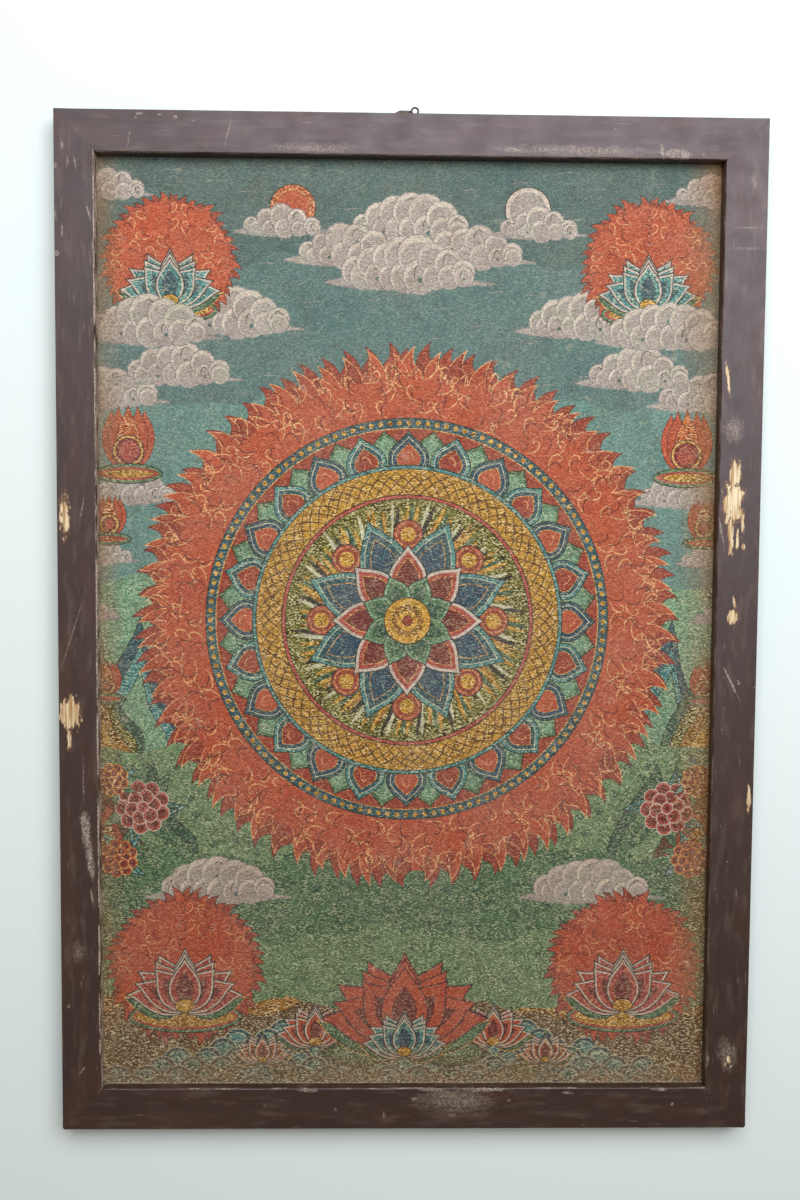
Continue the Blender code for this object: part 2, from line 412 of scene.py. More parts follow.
# Clouds, sun and moon, and the corners' glories with a lotus in each
layered(disc((-150, 540), 30, 26), (0, "dark_line"), (LINE, "orange"), (7, "gilt_line"), (8, "brick"))
layered(disc((150, 540), 30, 26), (0, "dark_line"), (LINE, "pearl"), (7, "mist"), (8, "cloud"))
for x, y, wide, lobes in ((0, 520, 150, 7), (-78, 486, 130, 6), (78, 486, 130, 6), (0, 462, 170, 8)):
    cloud(x, y, wide, lobes)
for side in (-1, 1):
    cloud(side * 164, 518, 96, 5)
    cloud(side * 384, 304, 120, 6)
    cloud(side * 296, 334, 130, 6)
    cloud(side * 352, 178, 100, 6)
    flaming_jewel(side * 360, 236, 52)
    cloud(side * 392, 96, 70, 5)
    flaming_jewel(side * 385, 140, 34)
    cloud(side * 402, 20, 50, 4)
    flaming_jewel(side * 390, -70, 30)
    cloud(side * 224, 400, 140, 7)
    nimbus(side * 306, 470, 82)
    cushion(side * 306, 410, 122)
    lotus(side * 306, 420, 118, "turquoise", "deep")
    cloud(side * 334, 388, 150, 7)
    cloud(side * 384, 562, 90, 5)
    cloud(side * 246, -338, 150, 7)
    nimbus(side * 290, -446, 96)
    cushion(side * 290, -512, 150)
    lotus(side * 290, -500, 140, "rose", "maroon")

# The mandala: rows of flame, a band of beads, a ring of lotus petals, a gold lattice band, wavy
# gold rays and a flower of eight petals in four layers.
HEART = (0.0, 14.0)
FLAME_ROWS = ((328, 76, 44, 28), (314, 66, 54, 31), (300, 62, 48, 30))
CURL_RINGS = ((266, 44), (281, 48), (297, 52), (312, 48))
CURL_LINE = 1.6


def flame_row(row, base, count, length, width):
    def flame(i, angle):
        side = 1 if math.cos(angle) > 0 else -1
        long = length * hand.uniform(0.85, 1.12)
        root = polar(HEART, base - 12, angle)
        tongue = swept(root, angle + 0.62 * side, long, width, TONGUE, -1.15 * side, 0.12 * side, 8)
        dye = "ember" if row == 0 or (i * 7 + row) % 5 == 0 else "brick"
        layered(tongue, (0, "red_line" if row == 0 else "warm_line"), (FINE_LINE, dye))
        if row > 0:
            start = polar(root, 13, angle)
            scroll(start, angle + 0.5 * side, 30, -3.6 * side, FINE_LINE, "red_line", 6)

    ring_of(count, flame, 0.21 * row)


def curl_ring(radius, count):
    def curl(i, angle):
        side = 1 if (i + count) % 2 else -1
        start = polar(HEART, radius + hand.uniform(-4, 4), angle)
        heading = angle + side * hand.uniform(0.7, 1.9)
        scroll(start, heading, hand.uniform(32, 44), -6.4 * side, CURL_LINE, "warm_line", 9)
        start = polar(start, 5, angle + 2)
        scroll(start, heading - 0.7 * side, 28, -4.6 * side, CURL_LINE, "red_line", 6)

    ring_of(count, curl, radius)


weave(disc(HEART, 330), "brick")
for row, sizes in enumerate(FLAME_ROWS):
    flame_row(row, *sizes)
weave(disc(HEART, 312), "brick")
for sizes in CURL_RINGS:
    curl_ring(*sizes)

layered(disc(HEART, 262), (0, "dark_line"), (LINE, "deep"))
ring_of(132, lambda i, angle: weave(disc(polar(HEART, 255.5, angle), 3.5, 6), "gold"))
layered(disc(HEART, 249), (0, "gilt_line"), (LINE, "ember"))

PETALS = 24


def petal_ring(count, root, length, width, steps, kinds, start=0.0, crest=None):
    """A ring of petals; each of the kinds is a petal's layers, and crest draws the lines on one."""

    def petal(i, angle):
        shape = swept(polar(HEART, root, angle), angle, length, width, PETAL, steps=steps)
        layered(shape, *kinds[i % len(kinds)])
        if crest:
            crest(angle)

    ring_of(count, petal, start)


def lotus_crest(angle):
    scroll(polar(HEART, 207, angle - 0.03), angle + 0.2, 18, 4.0, FINE_LINE, "warm_line", 7)


def blue_crest(angle):
    for lean in (-0.5, 0.5):
        scroll(polar(HEART, 84, angle), angle + lean, 32, lean * 9, FINE_LINE, "turquoise", 8)


SPRIG = ((0, "dark_line"), (LINE, "leaf"), (5, "mint"))
BLUE_LOTUS, GREEN_LOTUS = (
    ((0, "dark_line"), (LINE, rim), (5, "pale_line"), (6, inner), (11, "gilt_line"), (12, heart))
    for rim, inner, heart in (("deep", "blue", "brick"), ("turquoise", "deep", "ember"))
)
petal_ring(PETALS, 200, 48, 46, 9, [SPRIG], math.pi / PETALS)
petal_ring(PETALS, 188, 58, 54, 10, [BLUE_LOTUS, GREEN_LOTUS], crest=lotus_crest)

LATTICE_OUTER = 202
LATTICE_INNER = 164
LATTICE_TURN = 0.20
LATTICE_LINE = 1.9
layered(disc(HEART, LATTICE_OUTER), (0, "dark_line"), (LINE, "turquoise"), (5, "dark_line"), (6, "gold"))
for slant in (-LATTICE_TURN, LATTICE_TURN):

    def bar(i, angle, slant=slant):
        ends = (polar(HEART, LATTICE_INNER, angle), polar(HEART, 182, angle + slant / 2))
        line([*ends, polar(HEART, LATTICE_OUTER - 6, angle + slant)], LATTICE_LINE, "brown_line")

    ring_of(72, bar)
layered(disc(HEART, LATTICE_INNER), (0, "dark_line"), (LINE, "rose"), (5, "dark_line"), (6, "olive"))


def ray(i, angle):
    length = hand.uniform(70, 92)
    strand = swept(polar(HEART, 66, angle), angle, length, 5.6, THREAD, 0.0, 0.3, 7)
    weave(strand, ("gold", "ochre", "dark_line", "pale_line", "olive", "gold", "moss")[i % 7])


ring_of(140, ray)


def cloud_head(i, angle):
    for radius, reach, lean in ((15, 96, -0.26), (15, 96, 0.26), (20, 112, 0.0)):
        head = disc(polar(HEART, reach, angle + lean), radius, 16)
        layered(head, (0, "dark_line"), (LINE, "rose"), (4, "gilt_line"), (5, "ember"), (10, "gold"))


ring_of(8, cloud_head)
TALL = ((0, "dark_line"), (LINE, "turquoise"), (6, "pale_line"), (7, "deep"))
TALL += ((14, "gilt_line"), (15, "blue"))
MIDDLE = ((0, "dark_line"), (LINE, "pearl"), (5, "rose"), (10, "gilt_line"), (11, "maroon"))
SMALL = ((0, "dark_line"), (LINE, "mint"), (4, "leaf"), (9, "moss"))
petal_ring(8, 40, 100, 64, 11, [TALL], math.pi / 8, blue_crest)
petal_ring(8, 26, 74, 52, 10, [MIDDLE])
petal_ring(8, 18, 46, 36, 9, [SMALL], math.pi / 8)
layered(disc(HEART, 31, 36), (0, "dark_line"), (LINE, "gold"), (24, "dark_line"), (25, "ember"))


def seed(i, angle):
    layered(disc(polar(HEART, 17, angle), 4.2, 9), (0, "brown_line"), (1, "ochre"))


ring_of(12, seed)

# The pond's flowers stand in front of it all
for x, y, size in ((-118, -548, 96), (118, -548, 96), (-188, -572, 70), (188, -572, 70)):
    pad = disc((x + math.copysign(size * 0.4, -x), y - 14), size * 0.32, 22, 0.45)
    layered(pad, (0, "dark_line"), (LINE, "moss"), (5, "leaf"), (11, "mint"))
    lotus(x, y, size, "brick" if size > 80 else "orange", "maroon")
for side in (-1, 1):
    pad = disc((side * 62, -562), 44, 28, 0.42)
    layered(pad, (0, "dark_line"), (LINE, "moss"), (5, "leaf"), (14, "mint"))
lotus(0, -540, 200, "brick", "maroon", "rose")
lotus(0, -562, 104, "turquoise", "blue")

# The design becomes one flat mesh: its outlines cut the cloth into triangles, and each triangle
# takes the dye of the last shape laid over its middle. The back and the edges close the body.
BACK_DYE = "#80694c"
BACK_FLECK = 0.2
BATH_SPREAD = 0.045
TOLERANCE = 1e-3
BATCH = 20000


def inside(points, outline):
    """Which of the points the outline goes round, counted by the sides it passes them on."""
    ax, ay = outline.T
    bx, by = np.roll(outline, -1, 0).T
    found = np.zeros(len(points), bool)
    for start in range(0, len(points), BATCH):
        x, y = points[start : start + BATCH, :, None].transpose(1, 0, 2)
        left = (bx - ax) * (y - ay) - (x - ax) * (by - ay)
        ups = ((ay <= y) & (y < by) & (left > 0)).sum(1)
        downs = ((by <= y) & (y < ay) & (left < 0)).sum(1)
        found[start : start + BATCH] = ups > downs
    return found


def last_over(points, first_shape):
    """For each point the number of the last shape over it, from first_shape on; -1 for none."""
    order = np.argsort(points[:, 0])
    sorted_x = points[order, 0]
    owner = np.full(len(points), -1)
    for number, (outline, _) in enumerate(woven):
        low, high = outline.min(0), outline.max(0)
        near = order[np.searchsorted(sorted_x, low[0]) : np.searchsorted(sorted_x, high[0])]
        level = (points[near, 1] > low[1]) & (points[near, 1] < high[1])
        near = near[level & (first_shape[near] < number)]
        if len(near):
            owner[near[inside(points[near], outline)]] = number
    return owner


woven = [(np.clip(outline, -CLOTH_SIDE, CLOTH_SIDE), dye) for outline, dye in woven]
corners = np.vstack([outline for outline, _ in woven])
counts = np.array([len(outline) for outline, _ in woven])
starts = np.concatenate(((0,), counts.cumsum()[:-1]))
shape_of = np.repeat(np.arange(len(woven)), counts)
following = np.arange(len(corners)) + 1
following[starts + counts - 1] = starts
cover = last_over(corners, shape_of)
half_way = (corners + corners[following]) / 2
hidden = (cover >= 0) & (cover[following] >= 0) & (last_over(half_way, shape_of) >= 0)

# Where a shape runs off the cloth its side lies along the rim, which the first shape already draws
rim_side = np.sign(corners) * (np.abs(corners) == CLOTH_SIDE)
runs_off = ((rim_side == rim_side[following]) & (rim_side != 0)).any(1) & (shape_of > 0)
kept = np.flatnonzero(~hidden & ~runs_off)
used = np.unique(np.concatenate((kept, following[kept])))
renumber = np.full(len(corners), -1)
renumber[used] = np.arange(len(used))
threads = np.column_stack((renumber[kept], renumber[following[kept]]))
points = [Vector(p) for p in corners[used]]
flat, _, triangles, *_ = delaunay_2d_cdt(points, threads.tolist(), [], 0, TOLERANCE)
flat = np.array([tuple(p) for p in flat])
triangles = np.array(triangles)
owner = last_over(flat[triangles].mean(1), np.full(len(triangles), -1))

rim = np.flatnonzero((np.abs(np.abs(flat) - CLOTH_SIDE) < TOLERANCE).any(1))
rim = rim[np.argsort(np.arctan2(flat[rim, 1], flat[rim, 0]))]
back_rim = np.arange(len(rim)) + len(flat)
middle = ((cloth_low[0] + cloth_high[0]) / 2, (cloth_low[1] + cloth_high[1]) / 2)
places = np.vstack((flat, flat[rim])) * MM + middle
heights = np.where(np.arange(len(places)) < len(flat), cloth_high[2], cloth_low[2])
faces = triangles.tolist()
walls = zip(np.roll(rim, -1), rim, back_rim, np.roll(back_rim, -1))
faces += [[int(corner) for corner in wall] for wall in walls]
faces.append(back_rim[::-1].tolist())

mesh = bpy.data.meshes.new("brocade")
mesh.from_pydata(np.column_stack((places, heights)).tolist(), [], faces)
brocade = bpy.data.objects.new("brocade", mesh)
bpy.context.scene.collection.objects.link(brocade)

dye_of = [woven[number][1] for number in owner]
bath = hand.normal(1.0, BATH_SPREAD, len(woven))[owner]
front = np.array([linear(DYES[dye][0]) for dye in dye_of])
front[:, :3] *= bath[:, None]
back = np.tile(linear(BACK_DYE), (len(faces) - len(triangles), 1))
dyed = mesh.attributes.new("dye", "FLOAT_COLOR", "FACE")
dyed.data.foreach_set("color", np.vstack((front, back)).ravel())
flecks = [DYES[dye][1] for dye in dye_of] + [BACK_FLECK] * len(back)
gilts = [DYES[dye][2] for dye in dye_of] + [0.0] * len(back)
reverses = [0.0] * len(triangles) + [1.0] * len(back)
for name, values in (("fleck", flecks), ("gilt", gilts), ("reverse", reverses)):
    mesh.attributes.new(name, "FLOAT", "FACE").data.foreach_set("value", values)

# Bake map: the front fills nine tenths of the square, and the back and the edges share the strip
# beside it. Each is placed by its lower left corner and its size.
BAKE_FRONT = (0.90, 1.0)
BAKE_BACK = ((0.93, 0.02), (0.06, 0.96))
BAKE_EDGES = ((0.92, 0.01), (0.08, 0.98))
unit = (np.vstack((flat, flat[rim])) + CLOTH_SIDE) / (2 * CLOTH_SIDE)
spots = unit * BAKE_FRONT
spots[len(flat) :] = BAKE_BACK[0] + unit[len(flat) :] * BAKE_BACK[1]
on_rim = np.zeros((len(places), 2))
on_rim[rim] = BAKE_EDGES[0] + unit[rim] * BAKE_EDGES[1]
bake_map = mesh.uv_layers.new(name="OFBake")
loops = np.zeros(len(mesh.loops), int)
mesh.loops.foreach_get("vertex_index", loops)
loop_spots = spots[loops]
walls = np.arange(3 * len(triangles), len(loops) - len(rim))
wall_rims = walls[loops[walls] < len(flat)]
loop_spots[wall_rims] = on_rim[loops[wall_rims]]
bake_map.data.foreach_set("uv", loop_spots.ravel())

# Brocade: each colour is many short wefts, so it breaks into fine grains, and gold ground most of
# all. Years of dust and smoke lie over it and have browned it toward its sides and its foot.
MIX = {"out": 2, "data_type": "RGBA"}
TINT = {**MIX, "blend_type": "MULTIPLY"}
brocade_cloth, tree, shader = new_material("dyed_and_gilt_brocade")
where = node(tree, "TexCoord", out="Object")
across = node(tree, "SeparateXYZ", [where], "X")
upward = across.node.outputs["Y"]
dye = node(tree, "Attribute", out="Color", attribute_name="dye")
fleck, gilt, reverse = (
    node(tree, "Attribute", out="Fac", attribute_name=name) for name in ("fleck", "gilt", "reverse")
)

# Noises over the whole cloth: their size in mm, detail and roughness
uneven, bundle, cloudy, dusty, rub_places, patch = (
    node(tree, "TexNoise", {"Vector": where, "Scale": 1000 / size, "Detail": detail, "Roughness": rough})
    for size, detail, rough in (
        (30, 6.0, 0.6),
        (50, 3.0, 0.5),
        (60, 5.0, 0.5),
        (90, 4.0, 0.5),
        (22, 6.0, 0.5),
        (14, 3.0, 0.5),
    )
)

# Picks are drawn about 1.1 mm apart, near twice the real spacing, so that they show in the render
PICK_MM = 1.1
FLOAT_MM = 2.3
pick = node(tree, "Math", [upward, 1000 / PICK_MM], operation="MULTIPLY")
pick_number = node(tree, "Math", [pick], operation="FLOOR")
stagger = node(tree, "TexWhiteNoise", {"W": pick_number}, noise_dimensions="1D")
run = node(tree, "Math", [across, 1000 / FLOAT_MM, stagger], operation="MULTIPLY_ADD")
run_number = node(tree, "Math", [run], operation="FLOOR")
yarn = node(tree, "CombineXYZ", [run_number, pick_number])
yarn_tone = node(tree, "TexWhiteNoise", {"Vector": yarn}, noise_dimensions="2D")
pick_round = node(tree, "Math", [pick, 0.5], operation="PINGPONG")
run_round = node(tree, "Math", [run, 0.5], operation="PINGPONG")
run_flat = node(tree, "MapRange", [run_round, 0.0, 0.2, 0.5])
relief = node(tree, "Math", [pick_round, run_flat], operation="MULTIPLY")

# On the reverse the wefts float loose between their places on the face, in long dull streaks
laid = node(tree, "Mapping", {0: where, "Scale": (15, 640, 0)})
floats = node(tree, "TexNoise", {"Vector": laid, "Scale": 1.0, "Detail": 4.0})
float_dye = node(tree, "MapRange", [floats, 0.42, 0.58])
gold_share = node(tree, "MapRange", [bundle, 0.42, 0.60])
loose = node(tree, "Mix", {0: float_dye, 6: linear("#7c4a33"), 7: linear("#56655a")}, **MIX)
loose = node(tree, "Mix", {0: gold_share, 6: loose, 7: linear("#8c7448")}, **MIX)
loose = node(tree, "Mix", {0: 0.5, 6: loose, 7: dye}, **MIX)

# Soil at the sides and the foot, which touch the wood, comes in clouds
at_right = node(tree, "MapRange", [across, 0.345, 0.388, 0.0, 0.78])
at_left = node(tree, "MapRange", [across, -0.368, -0.400, 0.0, 0.70])
at_foot = node(tree, "MapRange", [upward, -0.545, -0.598, 0.0, 0.80])
at_sides = node(tree, "Math", [at_right, at_left], operation="MAXIMUM")
at_edges = node(tree, "Math", [at_sides, at_foot], operation="MAXIMUM")
soil_cloud = node(tree, "MapRange", [cloudy, 0.32, 0.68, 0.55, 1.15])
soil = node(tree, "Math", [at_edges, soil_cloud], operation="MULTIPLY")

# Some yarns of each colour are another shade, most of them where the weave is busy
busy = node(tree, "MapRange", [patch, 0.35, 0.65, 0.5, 1.4])
light_share = node(tree, "Math", [fleck, busy], operation="MULTIPLY")
dark_share = node(tree, "Math", [light_share, 1.8], operation="MULTIPLY")

# Over the dyes: fading, a greener cast, smoke that has yellowed the lower half, soil, dust, rubbed
# places, dark yarns and light yarns
colour = node(tree, "Mix", {0: reverse, 6: dye, 7: loose}, **MIX)
for amount, tone, way in (
    ([uneven, 0.62, 0.38, 0.0, 0.34], "#b0917c", TINT),
    ([uneven, 0.52, 0.70, 0.0, 0.5], "#c4d0ae", TINT),
    ([upward, 0.15, -0.58, 0.0, 0.42], "#c29c66", TINT),
    ([soil], "#80592f", MIX),
    ([dusty, 0.35, 0.65, 0.01, 0.12], "#a39684", MIX),
    ([rub_places, 0.66, 0.74, 0.0, 0.28], "#bcab94", MIX),
    ([yarn_tone, 0.40, 0.34, 0.0, dark_share], "#73523a", TINT),
    ([yarn_tone, 0.72, 0.78, 0.0, light_share], "#ecdcb0", MIX),
):
    amount = node(tree, "MapRange", amount)
    colour = node(tree, "Mix", {0: amount, 6: colour, 7: linear(tone)}, **way)
yarn_shade = node(tree, "MapRange", [yarn_tone, 0.0, 1.0, 0.80, 1.20])
# Painted shade: the colour is darkened where the weave's relief is low, in the dips between picks and at
# the ends of the floats, as the shade that falls in the weave's hollows
painted_weave_shade = node(tree, "MapRange", [relief, 0.0, 0.22, 0.52, 1.10])
spun = node(tree, "Mapping", {0: where, "Scale": (700, 5000, 1)})
fibres = node(tree, "TexNoise", {"Vector": spun, "Scale": 1.0, "Detail": 2.0})
fibre_shade = node(tree, "MapRange", [fibres, 0.3, 0.7, 0.84, 1.16])
shade = node(tree, "Math", [yarn_shade, painted_weave_shade], operation="MULTIPLY")
shade = node(tree, "Math", [shade, fibre_shade], operation="MULTIPLY")
colour = node(tree, "VectorMath", {0: colour, "Scale": shade}, operation="SCALE")
rib = node(tree, "Bump", {"Height": relief, "Strength": 0.6, "Distance": 0.0004})
glint = node(tree, "Math", [gilt, 0.35], operation="MULTIPLY")
feed(shader, {"Base Color": colour, "Normal": rib, "Metallic": glint, "Roughness": 0.82})
feed(shader, {"Sheen Weight": 0.12, "Sheen Roughness": 0.5})
brocade.data.materials.append(brocade_cloth)

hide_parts("cloth")
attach(brocade, "root")

# The frame: four lengths of softwood moulding, mitred, glued and painted by brush in one dark
# maroon brown. Long handling has softened its edges, knocked its corners and scuffed the paint.
REBATE_WIDTH = 0.012
EDGE_ROUND = 0.0018
RUNGS = 170
FOOT_CORNER_ROUND = 0.0048
TOP_CORNER_ROUND = 0.0022
CORNER_FACETS_DEG = (0, 13, -13, 26, -26, 38, -38)
EDGE_WEAR = 0.0006
PAINT = "#3e281a"
PAINT_DARK = "#332014"
PIECE_GAP = 0.0003
LIP_UNDERSIDE = cloth_high[2] + PIECE_GAP
outer_low = (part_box("left_stile")[0][0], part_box("bottom_rail")[0][1])
outer_high = (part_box("right_stile")[1][0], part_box("top_rail")[1][1])
sight_low, sight_high = (sight_left, sight_bottom), (sight_right, sight_top)


def alone(obj):
    """Makes obj the only selected object, and the active one."""
    bpy.ops.object.select_all(action="DESELECT")
    obj.select_set(True)
    bpy.context.view_layer.objects.active = obj


def primitive(add, name, scale=(1, 1, 1), **sizes):
    """Adds one of Blender's primitives, with its place, turn and scale in its mesh."""
    bpy.ops.object.select_all(action="DESELECT")
    add(**sizes)
    made = bpy.context.object
    made.name = name
    made.scale = scale
    bpy.ops.object.transform_apply(location=True, rotation=True, scale=True)
    return made


def cube(name, low, high):
    """A cube that fills the box from low to high."""
    middle = [(a + b) / 2 for a, b in zip(low, high)]
    sides = [b - a for a, b in zip(low, high)]
    return primitive(bpy.ops.mesh.primitive_cube_add, name, sides, size=1, location=middle)


def choose(obj, kind, wanted):
    """Selects in edit mode the faces, or the points or edges by their ends, that wanted accepts."""
    bpy.ops.object.mode_set(mode="EDIT")
    bpy.ops.mesh.select_mode(type=kind)
    bpy.ops.mesh.select_all(action="DESELECT")
    bpy.ops.object.mode_set(mode="OBJECT")
    mesh = obj.data
    if kind == "FACE":
        found = [(face, [face]) for face in mesh.polygons]
    elif kind == "VERT":
        found = [(vert, [vert.co]) for vert in mesh.vertices]
    else:
        found = [(edge, [mesh.vertices[i].co for i in edge.vertices]) for edge in mesh.edges]
    for part, shown in found:
        part.select = bool(wanted(*shown))
    bpy.ops.object.mode_set(mode="EDIT")


def modified(obj, kind, **settings):
    """Adds a modifier with its settings to obj and applies it."""
    alone(obj)
    bpy.ops.object.modifier_add(type=kind)
    modifier = obj.modifiers[-1]
    for name, value in settings.items():
        setattr(modifier, name, value)
    bpy.ops.object.modifier_apply(modifier=modifier.name)


def boolean(obj, tool, operation="DIFFERENCE"):
    """Cuts the tool out of obj, or welds it on, and removes the tool."""
    modified(obj, "BOOLEAN", operation=operation, solver="EXACT", object=tool)
    bpy.data.objects.remove(tool)


def cut_away(point, normal):
    """Cuts off what lies beyond a plane and closes the cut."""
    bpy.ops.mesh.select_all(action="SELECT")
    bpy.ops.mesh.bisect(plane_co=point, plane_no=normal, use_fill=True, clear_outer=True)


def turned(x, y, degrees):
    angle = math.radians(degrees)
    return (x * math.cos(angle) - y * math.sin(angle), x * math.sin(angle) + y * math.cos(angle), 0)


worn = bpy.data.textures.new("handled_edges", "CLOUDS")
worn.noise_scale = 0.018
worn.noise_depth = 3


def member(name, node_name):
    """One mitred length with its rebate, softened edges and knocked ends."""
    low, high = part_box(node_name)
    along = 0 if high[0] - low[0] > high[1] - low[1] else 1
    across = 1 - along
    low[along], high[along] = outer_low[along], outer_high[along]
    made = cube(name, low, high)
    inner_is_high = low[across] < 0
    inner = (high if inner_is_high else low)[across]
    bpy.ops.object.mode_set(mode="EDIT")
    for end in (-1, 1):
        tip = [0, 0, 0]
        tip[across] = (low if inner_is_high else high)[across]
        tip[along] = (outer_low if end < 0 else outer_high)[along]
        beyond = [0, 0, 0]
        beyond[along] = end
        beyond[across] = 1 if inner_is_high else -1
        cut_away(tip, beyond)
        out = (math.copysign(math.sqrt(0.5), tip[0]), math.copysign(math.sqrt(0.5), tip[1]))
        radius = FOOT_CORNER_ROUND if tip[1] < 0 else TOP_CORNER_ROUND
        for lean in CORNER_FACETS_DEG:
            depth = radius * (math.sqrt(2) * math.cos(math.radians(lean)) - 1)
            normal = turned(*out, lean)
            cut_away([t - n * depth for t, n in zip(tip, normal)], normal)
    bpy.ops.object.mode_set(mode="OBJECT")

    rebate_low = (sight_low[0] - REBATE_WIDTH, sight_low[1] - REBATE_WIDTH, -0.02)
    rebate_high = (sight_high[0] + REBATE_WIDTH, sight_high[1] + REBATE_WIDTH, LIP_UNDERSIDE)
    boolean(made, cube("rebate", rebate_low, rebate_high))

    def runs_long(a, b):
        return abs(a[along] - b[along]) > 0.5

    def shows(a, b):
        in_rebate = max(a.z, b.z) < LIP_UNDERSIDE + 0.001 and abs(a[across] - inner) < 0.015
        return runs_long(a, b) and not in_rebate

    choose(made, "EDGE", shows)
    bpy.ops.mesh.bevel(offset=EDGE_ROUND, segments=4, profile=0.5)
    choose(made, "EDGE", runs_long)
    bpy.ops.mesh.subdivide(number_cuts=RUNGS)
    bpy.ops.object.mode_set(mode="OBJECT")

    edges = made.vertex_groups.new(name="edges")
    for vert in made.data.vertices:
        gaps = [min(abs(at - a), abs(at - b)) for at, a, b in zip(vert.co, low, high)]
        at_edge = max(gaps[across], gaps[2]) < EDGE_ROUND * 0.9
        if at_edge and gaps[along] > 0.006:
            edges.add([vert.index], 1.0, "REPLACE")
    wear = {"texture": worn, "texture_coords": "GLOBAL", "vertex_group": "edges"}
    modified(made, "DISPLACE", mid_level=0.9, strength=EDGE_WEAR, **wear)
    made.vertex_groups.clear()
    bpy.ops.object.shade_smooth_by_angle(angle=math.radians(35))
    modified(made, "WEIGHTED_NORMAL", keep_sharp=True)
    return made


# Oil paint with a low gloss over a thin pale ground: brushed along each length, dusty in patches,
# and rubbed through to cream ground and bare wood in the marks that the photograph shows.
BARE_DEPTH = 0.6
SHARP_DEPTH = 0.45
SHARP_EDGE = (2.10, 1.55)
SOFT_EDGE = (2.30, 1.30)


